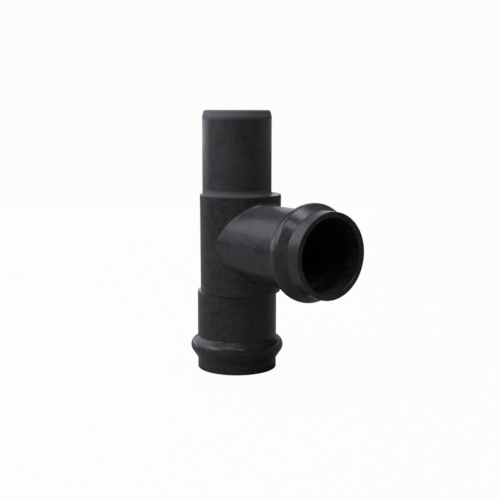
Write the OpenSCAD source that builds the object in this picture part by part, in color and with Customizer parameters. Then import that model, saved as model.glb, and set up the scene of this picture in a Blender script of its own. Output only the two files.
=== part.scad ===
// Socket tee for rubber-ring pipe joints, one moulding in dark grey PVC-U with two sealing rings.
// The run stands on its socket mouth with the spigot up. The branch points along +X.
// Origin: centre of the run socket's mouth, on the run axis. +Z points to the spigot. Millimetres.

/* [Pipe] */
// Outside diameter of the pipe that both sockets take, and of the spigot
pipe_d = 63; // [50:0.5:75]
// Gap all round between the pipe and a socket's bore
pipe_gap = 0.3; // [0.1:0.05:0.45]

/* [Lengths] */
// How deep the pipe goes into a socket, from the mouth to the stop
socket_depth = 66; // [60:0.5:75]
// Height of the lower shoulder above the run socket's stop
stop_to_shoulder = 6.5; // [5:0.5:12]
// Length of the barrel between its two shoulders
barrel_l = 88.8; // [84:0.5:120]
// Length of the spigot above the upper shoulder
spigot_l = 75.5; // [30:0.5:120]
// Height of the branch axis above the lower shoulder
branch_up = 46.1; // [43:0.1:47]
// Distance from the run axis to the branch socket's mouth
branch_reach = 129; // [122:0.2:160]

/* [Barrel] */
// How far the barrel's axis stands off the run axis, towards the branch
barrel_shift = 5.3; // [4.2:0.1:7]
// How far the barrel's back stands proud of the spigot
barrel_proud = 0.1; // [0.1:0.1:2]
// Moulding draft of the barrel, which narrows downwards
barrel_draft_angle = 0.25; // [0:0.05:1]
// Radius of the fillet where the branch neck meets the barrel
crotch_r = 3; // [1:0.5:4]
// Radius of the rounded rims of both shoulders
rim_r = 0.7; // [0.3:0.1:1.2]

/* [Spigot] */
// Wall of the spigot
spigot_wall = 4.3; // [4:0.1:8]
// How much narrower in radius the branch's waterway is than the run's
branch_way_step = 0.2; // [0.1:0.1:3]
// Radius of the fillet at the foot of the spigot, where the shoulder is wide enough
spigot_foot_r = 2; // [0.5:0.25:3]
// Depth of the chamfer on the spigot's end
spigot_lead = 1.5; // [0.5:0.1:2]
// Length of the chamfer on the spigot's end
spigot_lead_l = 6; // [4:0.25:12]
// Radius that rounds the chamfer's two edges
spigot_edge_r = 2.2; // [0.5:0.1:2.2]
// Width of the bevel inside the spigot's end
spigot_bevel = 0.5; // [0.2:0.1:0.8]

/* [Sockets] */
// Depth of the lead-in chamfer at the mouth
entry_w = 0.6; // [0.3:0.1:1.2]
// Length of the lead-in chamfer at the mouth
entry_l = 0.8; // [0.5:0.1:1.5]
// Radius of the mouth's rounded outer edge
lip_edge_r = 0.8; // [0.3:0.1:1.2]
// Radius of the fillet where a bulge's front flank runs into the lip
front_foot_r = 3; // [0.5:0.25:4]
// Radius of the fillet where a bulge's back flank runs into the neck
back_foot_r = 1.25; // [0.5:0.25:3]

/* [Run socket] */
// Wall of the run socket at its neck
run_neck_wall = 4.5; // [3:0.1:4.8]
// Wall of the run socket at its lip
run_lip_wall = 4.45; // [3:0.05:5.5]
// Wall over the ring groove of the run socket
run_crest_wall = 4.4; // [3:0.05:5]
// Distance from the mouth to the crest of the run bulge
run_crest_at = 21.2; // [20:0.1:24]
// Crest radius on the mouth side of the run bulge
run_front_r = 7.6; // [5:0.1:8]
// Slope of the run bulge's front flank
run_front_angle = 33.6; // [28:0.2:42]
// Crest radius on the deep side of the run bulge
run_back_r = 7.6; // [5:0.1:9]
// Slope of the run bulge's back flank
run_back_angle = 50.5; // [40:0.5:60]

/* [Branch socket] */
// Wall of the branch socket at its neck
branch_neck_wall = 3.5; // [3:0.1:4]
// Wall of the branch socket at its lip
branch_lip_wall = 5; // [4:0.1:5.5]
// Wall over the ring groove of the branch socket
branch_crest_wall = 4; // [3.5:0.05:5]
// Distance from the mouth to the crest of the branch bulge
branch_crest_at = 24.2; // [23:0.1:26]
// Crest radius on the mouth side of the branch bulge
branch_front_r = 6.8; // [4:0.1:8]
// Slope of the branch bulge's front flank
branch_front_angle = 29.4; // [25:0.2:34]
// Crest radius on the deep side of the branch bulge
branch_back_r = 13.1; // [10:0.1:15]
// Slope of the branch bulge's back flank
branch_back_angle = 40.4; // [36:0.2:48]

/* [Ring groove] */
// Depth of the groove below the bore
groove_depth = 6.4; // [5:0.1:6.8]
// Distance from the mouth to the deepest line of the groove
groove_at = 22.5; // [21:0.1:23]
// Radius of the groove's bottom
groove_r = 3; // [2:0.1:4]
// Slope of the groove's flank on the mouth side
groove_front_angle = 38; // [34:0.5:45]
// Slope of the groove's flank on the deep side
groove_back_angle = 50; // [45:0.5:60]
// Radius that rounds the groove's two edges
groove_edge_r = 0.5; // [0.2:0.1:1]

/* [Sealing ring] */
// Gap between the ring and its groove
ring_gap = 0.1; // [0.05:0.05:0.2]
// Depth of the notch that lets water press the ring's lip to the pipe
notch_depth = 3.6; // [2:0.1:5]
// Thickness of the ring's lip under the notch
lip_t = 1.8; // [1.2:0.1:2.4]
// Width of the notch where it opens
notch_w = 1.8; // [1:0.1:2.4]

/* [Hidden] */
$fn = 96;
PVC = [0.21, 0.21, 0.23];
RUBBER = [0.06, 0.06, 0.06];
// Points along each arc of a turned outline, and how far a cutter runs past a face
ARC_STEPS = 10;
PAST = 1;
// Steps round the crotch fillet and across its arc
CROTCH_STEPS = 96;
CROTCH_ARC = 6;
// Steps round the spigot's foot fillet and across its arc, and its radius where the shoulder fades out
FOOT_STEPS = 72;
FOOT_ARC = 4;
FOOT_LEAST = 0.05;
// How far a fillet bites into the walls that it joins, and how far its hidden edges are sunk in them
BITE = 0.04;
CROTCH_SINK = 1;
FOOT_SINK = 0.5;
// Share of the barrel's proud back that the spigot's foot flares by, so that it ends inside the back
FLARE_SHARE = 0.8;

pipe_r = pipe_d / 2;
bore_r = pipe_r + pipe_gap;
waterway_r = pipe_r - spigot_wall;
branch_way_r = waterway_r - branch_way_step;
shoulder_low = socket_depth + stop_to_shoulder;
shoulder_high = shoulder_low + barrel_l;
total_h = shoulder_high + spigot_l;
branch_h = shoulder_low + branch_up;
barrel_r = pipe_r + barrel_proud + barrel_shift;
barrel_low_r = barrel_r - barrel_l * tan(barrel_draft_angle);
branch_neck_r = bore_r + branch_neck_wall;

// Arc round [cr, cs] in a turned outline, whose points are [radius, distance along the axis]
function arc(cr, cs, r, from, to, steps = ARC_STEPS) =
    [for (i = [0 : steps]) let (a = from + (to - from) * i / steps) [cr + r * cos(a), cs + r * sin(a)]];

// One bulge of a turned outline: foot fillet, front flank, crest, back flank, foot fillet
function bulge(front_base, back_base, crest, at, front_r, front_angle, back_r, back_angle, front_foot_r,
        back_foot_r) =
    let (
        front_rise = crest - front_r * (1 - cos(front_angle)) - front_base,
        back_rise = crest - back_r * (1 - cos(back_angle)) - back_base,
        front_flank = front_rise / tan(front_angle),
        back_flank = back_rise / tan(back_angle),
        front_foot = at - front_r * sin(front_angle) - front_flank - front_foot_r * tan(front_angle / 2),
        back_foot = at + back_r * sin(back_angle) + back_flank + back_foot_r * tan(back_angle / 2)
    )
    concat(
        arc(front_base + front_foot_r, front_foot, front_foot_r, 180, 180 - front_angle),
        arc(crest - front_r, at, front_r, -front_angle, 0),
        arc(crest - back_r, at, back_r, 0, back_angle),
        arc(back_base + back_foot_r, back_foot, back_foot_r, 180 + back_angle, 180)
    );

// Outside of a socket, from the mouth at 0 to the length l: rounded lip edge, lip, bulge, neck, rounded rim
function socket_outline(lip_wall, neck_wall, crest_wall, at, front_r, front_angle, back_r, back_angle, l) =
    concat(
        [[0, 0]],
        arc(bore_r + lip_wall - lip_edge_r, lip_edge_r, lip_edge_r, -90, 0),
        bulge(bore_r + lip_wall, bore_r + neck_wall, bore_r + groove_depth + crest_wall,
            at, front_r, front_angle, back_r, back_angle, front_foot_r, back_foot_r),
        arc(bore_r + neck_wall - rim_r, l - rim_r, rim_r, 0, 90),
        [[0, l]]
    );

// Groove for the ring, drawn larger or smaller by grow
function groove_outline(grow) =
    bulge(bore_r, bore_r, bore_r + groove_depth + grow, groove_at, groove_r + grow, groove_front_angle,
        groove_r + grow, groove_back_angle, groove_edge_r, groove_edge_r);

// Core that a socket is moulded round: lead-in, bore with the ring groove, and the stop
module socket_core() {
    rotate_extrude()
        polygon(concat(
            [[0, -PAST], [bore_r + entry_w, -PAST], [bore_r + entry_w, 0], [bore_r, entry_l]],
            groove_outline(0),
            [[bore_r, socket_depth], [0, socket_depth]]
        ));
}

module run_socket_form() {
    rotate_extrude()
        polygon(socket_outline(run_lip_wall, run_neck_wall, run_crest_wall, run_crest_at,
            run_front_r, run_front_angle, run_back_r, run_back_angle, shoulder_low));
}

module branch_socket_form() {
    rotate_extrude()
        polygon(socket_outline(branch_lip_wall, branch_neck_wall, branch_crest_wall, branch_crest_at,
            branch_front_r, branch_front_angle, branch_back_r, branch_back_angle, branch_reach));
}

// Lays what is drawn upwards from a mouth at 0 along the branch, with its mouth outwards
module on_branch() {
    translate([branch_reach, 0, branch_h])
        rotate([0, -90, 0])
            children();
}

// Barrel with a moulding draft and a rounded rim at each shoulder
module barrel_form() {
    translate([barrel_shift, 0, shoulder_low])
        rotate_extrude()
            polygon(concat(
                [[0, 0]],
                arc(barrel_low_r - rim_r, rim_r, rim_r, -90, 0),
                arc(barrel_r - rim_r, barrel_l - rim_r, rim_r, 0, 90),
                [[0, barrel_l]]
            ));
}

// Spigot with a slightly flared foot and a chamfered, rounded end
module spigot_form() {
    lead_angle = atan(spigot_lead / spigot_lead_l);
    low_cut = spigot_edge_r * tan(lead_angle / 2);
    high_cut = spigot_edge_r * tan((90 - lead_angle) / 2);
    translate([0, 0, shoulder_high])
        rotate_extrude()
            polygon(concat(
                [[0, -PAST], [pipe_r + FLARE_SHARE * barrel_proud, -PAST], [pipe_r, spigot_foot_r]],
                arc(pipe_r - spigot_edge_r, spigot_l - spigot_lead_l - low_cut, spigot_edge_r, 0, lead_angle),
                arc(pipe_r - spigot_lead - high_cut, spigot_l - spigot_edge_r, spigot_edge_r, lead_angle, 90),
                [[0, spigot_l]]
            ));
}

// Radius of the spigot's foot fillet at the angle a round the run axis: half the shoulder's width at most,
// because the shoulder narrows towards the back and fades out there
function foot_r(a) =
    let (rim = barrel_shift * cos(a) + sqrt(pow(barrel_r - rim_r, 2) - pow(barrel_shift * sin(a), 2)))
    max(FOOT_LEAST, min(spigot_foot_r, (rim - pipe_r) / 2));

// One section of the spigot's foot fillet: an arc between shoulder and spigot, closed inside both
function foot_section(a) =
    let (
        f = foot_r(a),
        outline = concat(
            arc(pipe_r + f, f, f + BITE, 270, 180, FOOT_ARC),
            [[pipe_r - FOOT_SINK, f], [pipe_r - FOOT_SINK, -FOOT_SINK], [pipe_r + f, -FOOT_SINK]]
        )
    )
    [for (p = outline) [p.x * cos(a), p.x * sin(a), shoulder_high + p.y]];

// Solid through closed sections that follow each other round a ring, each with the same count of points
module ring_loft(sections) {
    around = len(sections);
    per = len(sections[0]);
    polyhedron(
        [for (section = sections) each section],
        [for (i = [0 : around - 1], j = [0 : per - 1])
            let (n = (i + 1) % around, k = (j + 1) % per)
            each [[i * per + j, n * per + k, i * per + k], [i * per + j, n * per + j, n * per + k]]]
    );
}

module spigot_foot() {
    ring_loft([for (i = [0 : FOOT_STEPS - 1]) foot_section(-360 * i / FOOT_STEPS)]);
}

// Distance of the crotch fillet's ball from the barrel axis plane, where the branch is cut at the angle a
function ball_x(a) = barrel_shift
    + sqrt(pow(barrel_r + crotch_r, 2) - pow((branch_neck_r + crotch_r) * sin(a), 2));

// One section of the crotch fillet: an arc of the ball between the two walls, closed inside the walls
function crotch_section(a) =
    let (
        cx = ball_x(a),
        cy = (branch_neck_r + crotch_r) * sin(a),
        cz = branch_h + (branch_neck_r + crotch_r) * cos(a),
        to_barrel = [barrel_shift - cx, -cy, 0] / (barrel_r + crotch_r),
        to_branch = [0, -sin(a), -cos(a)],
        spread = acos(to_barrel * to_branch),
        ball = [cx, cy, cz],
        reach = (crotch_r + BITE) / sin(spread),
        sunk = crotch_r + CROTCH_SINK
    )
    concat(
        [for (i = [0 : CROTCH_ARC]) let (t = i / CROTCH_ARC)
            ball + reach * (sin((1 - t) * spread) * to_barrel + sin(t * spread) * to_branch)],
        [ball + sunk * to_branch, ball + sunk * (to_barrel + to_branch), ball + sunk * to_barrel]
    );

// Moulded fillet where the branch neck runs into the barrel, rolled round the joint
module crotch_fillet() {
    ring_loft([for (i = [0 : CROTCH_STEPS - 1]) crotch_section(360 * i / CROTCH_STEPS)]);
}

module tee_body() {
    color(PVC)
        difference() {
            union() {
                run_socket_form();
                barrel_form();
                spigot_form();
                spigot_foot();
                on_branch() branch_socket_form();
                crotch_fillet();
            }
            socket_core();
            on_branch() socket_core();
            translate([0, 0, socket_depth - PAST])
                cylinder(r = waterway_r, h = total_h - socket_depth + 2 * PAST);
            translate([0, 0, total_h - spigot_bevel])
                cylinder(r1 = waterway_r, r2 = waterway_r + spigot_bevel + PAST, h = spigot_bevel + PAST);
            on_branch()
                translate([0, 0, socket_depth - PAST])
                    cylinder(r = branch_way_r, h = branch_reach - socket_depth + PAST);
        }
}

// Rubber ring as a pushed-in pipe leaves it: it fills its groove and lies flush with the bore.
// The notch on its deep side lets the water press the lip to the pipe.
module sealing_ring() {
    notch_end = groove_at + groove_r * sin(groove_back_angle)
        + (groove_depth - groove_r * (1 - cos(groove_back_angle)) - lip_t) / tan(groove_back_angle);
    color(RUBBER)
        rotate_extrude()
            difference() {
                polygon(groove_outline(-ring_gap));
                polygon([
                    [bore_r + lip_t, notch_end + PAST],
                    [bore_r + lip_t + notch_w / 2, notch_end - notch_depth],
                    [bore_r + lip_t + notch_w, notch_end + PAST]
                ]);
            }
}

module run_seal() {
    sealing_ring();
}

module branch_seal() {
    on_branch() sealing_ring();
}

tee_body();
run_seal();
branch_seal();
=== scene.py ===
from math import pi, radians

import bpy
from mathutils import Euler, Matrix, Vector

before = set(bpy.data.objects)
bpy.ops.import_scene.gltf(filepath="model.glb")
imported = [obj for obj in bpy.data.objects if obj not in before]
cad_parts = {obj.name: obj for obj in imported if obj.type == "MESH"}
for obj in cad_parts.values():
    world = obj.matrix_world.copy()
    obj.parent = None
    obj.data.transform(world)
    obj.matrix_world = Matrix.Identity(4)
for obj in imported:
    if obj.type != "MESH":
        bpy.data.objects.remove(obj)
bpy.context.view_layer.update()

scene = bpy.context.scene

# Camera: made for a 500 by 500 frame, whose size this script doesn't set, 37 degrees off the branch axis
# and level with the spigot's end. A long lens from under a metre away keeps the run's sides nearly
# parallel.
FRAME_WIDTH_MM = 36.0
LENS_MM = 70.04
camera_at = Vector((0.708638, -0.532751, 0.238583))
camera_tilt = radians(81.694)
camera_roll = radians(-0.084)
camera_heading = radians(52.304)
NEAREST_SEEN_M = 0.02
FARTHEST_SEEN_M = 60.0

camera_data = bpy.data.cameras.new("photo_camera")
camera_data.sensor_width = FRAME_WIDTH_MM
camera_data.lens = LENS_MM
camera_data.clip_start = NEAREST_SEEN_M
camera_data.clip_end = FARTHEST_SEEN_M
camera = bpy.data.objects.new("photo_camera", camera_data)
camera.location = camera_at
camera.rotation_euler = Euler((camera_tilt, camera_roll, camera_heading))
scene.collection.objects.link(camera)
scene.camera = camera

# Tee body: one injection moulding in dark grey rigid PVC, satin from the mould, with a very fine orange
# peel and a slightly uneven grey. Light is painted into its colour: the spigot is painted a shade paler as
# painted light from above and made more matt, its chamfer and its foot on the ledge carry painted
# highlights, and what faces up is painted paler as painted overhead light.
PVC_DARK = (0.0170, 0.0168, 0.0178, 1.0)
PVC_LIGHT = (0.0510, 0.0508, 0.0544, 1.0)
# The pale tone below is painted light: painted light on the spigot, painted highlights on its chamfer and
# ledge foot, and painted overhead light on what faces up.
PVC_PAINTED_LIGHT = (0.1300, 0.1320, 0.1480, 1.0)
PVC_IOR = 1.53
PVC_GLOSS = 0.40
CLOUDS_PER_M, CLOUD_DETAIL = 60.0, 3.0
BLOTCHES_PER_M, BLOTCH_DETAIL, BLOTCH_SHARE = 260.0, 2.0, 0.6
SPECKS_PER_M, SPECK_DETAIL, SPECK_SHARE = 900.0, 2.0, 0.5
MOTTLE_FROM, MOTTLE_TO = 0.40, 0.60
PEEL_PER_M, PEEL_DETAIL, PEEL_DEPTH = 600.0, 1.0, 0.000013
SATIN_FROM, SATIN_TO = 0.35, 0.65
SATIN_LEAST, SATIN_MOST = 0.22, 0.30
PALE_ROUGHER = 0.55
# Painted overhead light: surfaces that face up are painted paler, standing in for highlights from above.
PAINTED_TOPLIGHT_FROM, PAINTED_TOPLIGHT_FULL, PAINTED_TOPLIGHT_SHARE = 0.70, 0.97, 0.30
LEDGE_Z = 0.1613
SPIGOT_END_Z = 0.2368
# Painted light by height: the whole spigot a shade paler as painted light from above, and bands at the
# ledge foot and the spigot's chamfer as painted highlights.
PAINTED_LIGHT_START_Z = LEDGE_Z - 0.0005
PAINTED_LIGHT_BY_HEIGHT = (
    (PAINTED_LIGHT_START_Z, 0.00),
    (LEDGE_Z, 0.35),
    (LEDGE_Z + 0.0007, 1.00),
    (LEDGE_Z + 0.0034, 0.90),
    (LEDGE_Z + 0.0046, 0.15),
    (SPIGOT_END_Z - 0.0090, 0.15),
    (SPIGOT_END_Z - 0.0055, 0.95),
    (SPIGOT_END_Z, 1.00),
)

pvc = bpy.data.materials.new("dark_grey_pvc_moulded")
pvc.use_nodes = True
nodes = pvc.node_tree.nodes
links = pvc.node_tree.links
skin = nodes["Principled BSDF"]
skin.inputs["IOR"].default_value = PVC_IOR
skin.inputs["Specular IOR Level"].default_value = PVC_GLOSS
place = nodes.new("ShaderNodeTexCoord")


def uneven(per_m, detail):
    """Noise of the given fineness over the moulding, from 0 to 1."""
    noise = nodes.new("ShaderNodeTexNoise")
    noise.inputs["Scale"].default_value = per_m
    noise.inputs["Detail"].default_value = detail
    links.new(place.outputs["Object"], noise.inputs["Vector"])
    return noise.outputs["Fac"]


def blended(first, second, share):
    """The two values mixed, with the given share of the second."""
    mix = nodes.new("ShaderNodeMix")
    mix.data_type = "FLOAT"
    mix.inputs["Factor"].default_value = share
    links.new(first, mix.inputs["A"])
    links.new(second, mix.inputs["B"])
    return mix.outputs["Result"]


clouds = uneven(CLOUDS_PER_M, CLOUD_DETAIL)
blotches = uneven(BLOTCHES_PER_M, BLOTCH_DETAIL)
specks = uneven(SPECKS_PER_M, SPECK_DETAIL)
patches = blended(clouds, blotches, BLOTCH_SHARE)
mottle = nodes.new("ShaderNodeMapRange")
mottle.inputs["From Min"].default_value = MOTTLE_FROM
mottle.inputs["From Max"].default_value = MOTTLE_TO
links.new(blended(patches, specks, SPECK_SHARE), mottle.inputs["Value"])

grey = nodes.new("ShaderNodeMix")
grey.data_type = "RGBA"
grey.inputs["A"].default_value = PVC_DARK
grey.inputs["B"].default_value = PVC_LIGHT
links.new(mottle.outputs["Result"], grey.inputs["Factor"])

# Painted light by height, from the table above, as a share of the pale tone.
where = nodes.new("ShaderNodeSeparateXYZ")
links.new(place.outputs["Object"], where.inputs["Vector"])
height = nodes.new("ShaderNodeMapRange")
height.inputs["From Min"].default_value = PAINTED_LIGHT_START_Z
height.inputs["From Max"].default_value = SPIGOT_END_Z
links.new(where.outputs["Z"], height.inputs["Value"])
height_painted_light = nodes.new("ShaderNodeValToRGB")
for number, (z, share) in enumerate(PAINTED_LIGHT_BY_HEIGHT):
    along = (z - PAINTED_LIGHT_START_Z) / (SPIGOT_END_Z - PAINTED_LIGHT_START_Z)
    stops = height_painted_light.color_ramp.elements
    stop = stops[number] if number < 2 else stops.new(along)
    stop.position = along
    stop.color = (share, share, share, 1.0)
links.new(height.outputs["Result"], height_painted_light.inputs["Fac"])
# Painted overhead light: the more a surface faces up, the paler it is painted.
facing = nodes.new("ShaderNodeNewGeometry")
upward = nodes.new("ShaderNodeSeparateXYZ")
links.new(facing.outputs["Normal"], upward.inputs["Vector"])
painted_toplight = nodes.new("ShaderNodeMapRange")
painted_toplight.inputs["From Min"].default_value = PAINTED_TOPLIGHT_FROM
painted_toplight.inputs["From Max"].default_value = PAINTED_TOPLIGHT_FULL
painted_toplight.inputs["To Max"].default_value = PAINTED_TOPLIGHT_SHARE
links.new(upward.outputs["Z"], painted_toplight.inputs["Value"])
# The share of painted light, the larger of the two, mixes the grey toward the pale tone and makes it
# rougher.
painted_light_share = nodes.new("ShaderNodeMath")
painted_light_share.operation = "MAXIMUM"
links.new(height_painted_light.outputs["Color"], painted_light_share.inputs[0])
links.new(painted_toplight.outputs["Result"], painted_light_share.inputs[1])
tone = nodes.new("ShaderNodeMix")
tone.data_type = "RGBA"
tone.inputs["B"].default_value = PVC_PAINTED_LIGHT
links.new(painted_light_share.outputs["Value"], tone.inputs["Factor"])
links.new(grey.outputs["Result"], tone.inputs["A"])
links.new(tone.outputs["Result"], skin.inputs["Base Color"])

satin = nodes.new("ShaderNodeMapRange")
satin.inputs["From Min"].default_value = SATIN_FROM
satin.inputs["From Max"].default_value = SATIN_TO
satin.inputs["To Min"].default_value = SATIN_LEAST
satin.inputs["To Max"].default_value = SATIN_MOST
links.new(clouds, satin.inputs["Value"])
rougher = nodes.new("ShaderNodeMath")
rougher.operation = "MULTIPLY_ADD"
rougher.inputs[1].default_value = PALE_ROUGHER
links.new(painted_light_share.outputs["Value"], rougher.inputs[0])
links.new(satin.outputs["Result"], rougher.inputs[2])
links.new(rougher.outputs["Value"], skin.inputs["Roughness"])

relief = nodes.new("ShaderNodeBump")
relief.inputs["Distance"].default_value = PEEL_DEPTH
links.new(uneven(PEEL_PER_M, PEEL_DETAIL), relief.inputs["Height"])
links.new(relief.outputs["Normal"], skin.inputs["Normal"])

tee_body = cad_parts["tee_body"]
tee_body.data.materials.clear()
tee_body.data.materials.append(pvc)

# Sealing rings: moulded EPDM rubber, one in the groove of each socket, pushed in by hand after moulding.
# Matt black, with the dull bloom and fine grain of the rubber mould.
EPDM_BLACK = (0.0100, 0.0100, 0.0105, 1.0)
EPDM_BLOOM = (0.0160, 0.0160, 0.0165, 1.0)
EPDM_ROUGHNESS = 0.62
BLOOM_PER_M, BLOOM_DETAIL = 120.0, 4.0
GRAIN_PER_M, GRAIN_DEPTH = 1500.0, 0.00003

rubber = bpy.data.materials.new("black_ring_rubber")
rubber.use_nodes = True
nodes = rubber.node_tree.nodes
links = rubber.node_tree.links
skin = nodes["Principled BSDF"]
skin.inputs["Roughness"].default_value = EPDM_ROUGHNESS

place = nodes.new("ShaderNodeTexCoord")
bloom = nodes.new("ShaderNodeTexNoise")
bloom.inputs["Scale"].default_value = BLOOM_PER_M
bloom.inputs["Detail"].default_value = BLOOM_DETAIL
links.new(place.outputs["Object"], bloom.inputs["Vector"])
black = nodes.new("ShaderNodeMix")
black.data_type = "RGBA"
black.inputs["A"].default_value = EPDM_BLACK
black.inputs["B"].default_value = EPDM_BLOOM
links.new(bloom.outputs["Fac"], black.inputs["Factor"])
links.new(black.outputs["Result"], skin.inputs["Base Color"])

grain = nodes.new("ShaderNodeTexNoise")
grain.inputs["Scale"].default_value = GRAIN_PER_M
links.new(place.outputs["Object"], grain.inputs["Vector"])
relief = nodes.new("ShaderNodeBump")
relief.inputs["Distance"].default_value = GRAIN_DEPTH
links.new(grain.outputs["Fac"], relief.inputs["Height"])
links.new(relief.outputs["Normal"], skin.inputs["Normal"])

for name in ("run_seal", "branch_seal"):
    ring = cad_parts[name]
    ring.data.materials.clear()
    ring.data.materials.append(rubber)

# Floor: a plain studio table, far wider than the tee. It shows nearly white to the camera and keeps the
# tee's shadow, and in the tee's own light it is a mid grey.
FLOOR_HALF_M = 20.0
FLOOR_COLOR = (0.31, 0.31, 0.31, 1.0)
FLOOR_WHITE_SHARE = 0.97

floor_mesh = bpy.data.meshes.new("studio_floor")
floor_mesh.from_pydata(
    [(x * FLOOR_HALF_M, y * FLOOR_HALF_M, 0.0) for x, y in ((-1, -1), (1, -1), (1, 1), (-1, 1))],
    [],
    [(0, 1, 2, 3)],
)
floor = bpy.data.objects.new("studio_floor", floor_mesh)
scene.collection.objects.link(floor)

pale = bpy.data.materials.new("pale_floor")
pale.use_nodes = True
nodes = pale.node_tree.nodes
links = pale.node_tree.links
nodes.clear()
matt = nodes.new("ShaderNodeBsdfDiffuse")
matt.inputs["Color"].default_value = FLOOR_COLOR
white = nodes.new("ShaderNodeEmission")
white.inputs["Color"].default_value = (1.0, 1.0, 1.0, 1.0)
ray = nodes.new("ShaderNodeLightPath")
share = nodes.new("ShaderNodeMath")
share.operation = "MULTIPLY"
share.inputs[1].default_value = FLOOR_WHITE_SHARE
links.new(ray.outputs["Is Camera Ray"], share.inputs[0])
blend = nodes.new("ShaderNodeMixShader")
links.new(share.outputs["Value"], blend.inputs["Fac"])
links.new(matt.outputs["BSDF"], blend.inputs[1])
links.new(white.outputs["Emission"], blend.inputs[2])
surface = nodes.new("ShaderNodeOutputMaterial")
links.new(blend.outputs["Shader"], surface.inputs["Surface"])
floor_mesh.materials.append(pale)

# Room: as white as the floor to the camera, so that no horizon shows, and a dim even grey in the tee's own
# light.
ROOM_LIGHT = (0.05, 0.05, 0.05, 1.0)
BACKDROP_WHITE = (0.975, 0.975, 0.975, 1.0)

room = bpy.data.worlds.new("studio_room")
scene.world = room
room.use_nodes = True
nodes = room.node_tree.nodes
links = room.node_tree.links
nodes.clear()
dim = nodes.new("ShaderNodeBackground")
dim.inputs["Color"].default_value = ROOM_LIGHT
backdrop = nodes.new("ShaderNodeBackground")
backdrop.inputs["Color"].default_value = BACKDROP_WHITE
ray = nodes.new("ShaderNodeLightPath")
blend = nodes.new("ShaderNodeMixShader")
links.new(ray.outputs["Is Camera Ray"], blend.inputs["Fac"])
links.new(dim.outputs["Background"], blend.inputs[1])
links.new(backdrop.outputs["Background"], blend.inputs[2])
surface = nodes.new("ShaderNodeOutputWorld")
links.new(blend.outputs["Shader"], surface.inputs["Surface"])

# Studio light: a low ring of soft boxes, larger windows above it, a pale wall behind, an overhead box and a
# narrow strip above the camera. Each row has the name, the heading and the climb in degrees, the distance,
# the width and the depth in metres, and the glow.
TEE_MIDDLE = Vector((0.02, 0.0, 0.12))
soft_boxes = (
    ("ring_left", 190, 8, 1.5, 1.30, 0.45, (1.45, 1.47, 1.71)),
    ("ring_front_left", 237, 8, 1.5, 1.30, 0.45, (0.22, 0.22, 0.28)),
    ("ring_front", 285, 8, 1.5, 1.30, 0.45, (0.29, 0.25, 0.29)),
    ("right_window", 348, 48, 1.0, 0.60, 0.45, (1.45, 1.42, 1.32)),
    ("right_fill", 20, 34, 1.0, 0.60, 0.40, (0.15, 0.15, 0.14)),
    ("ring_back_right", 68, 8, 1.5, 1.30, 0.45, (0.28, 0.27, 0.25)),
    ("ring_back", 112, 8, 1.5, 1.20, 0.45, (0.32, 0.31, 0.32)),
    ("window", 195, 37, 1.5, 1.40, 0.90, (1.25, 1.27, 1.62)),
    ("front_window", 248, 32, 1.0, 0.73, 0.53, (3.00, 2.95, 2.78)),
    ("pale_wall", 146, 15, 1.5, 0.85, 0.75, (2.10, 2.10, 2.15)),
    ("overhead", 150, 86, 1.1, 0.42, 0.42, (5.80, 6.00, 6.60)),
    ("strip", 285, 60, 1.0, 0.60, 0.23, (3.20, 3.20, 3.65)),
)
for name, heading, climb, away, width, depth, glow in soft_boxes:
    strongest = max(glow)
    lamp = bpy.data.lights.new(name, "AREA")
    lamp.shape = "RECTANGLE"
    lamp.size, lamp.size_y = width, depth
    lamp.color = [part / strongest for part in glow]
    lamp.energy = strongest * pi * width * depth
    soft_box = bpy.data.objects.new(name, lamp)
    toward = Vector((away, 0.0, 0.0))
    toward.rotate(Euler((0.0, -radians(climb), radians(heading))))
    soft_box.location = TEE_MIDDLE + toward
    soft_box.rotation_euler = (-toward).to_track_quat("-Z", "Y").to_euler()
    soft_box.visible_camera = False
    scene.collection.objects.link(soft_box)

scene.view_settings.view_transform = "Standard"
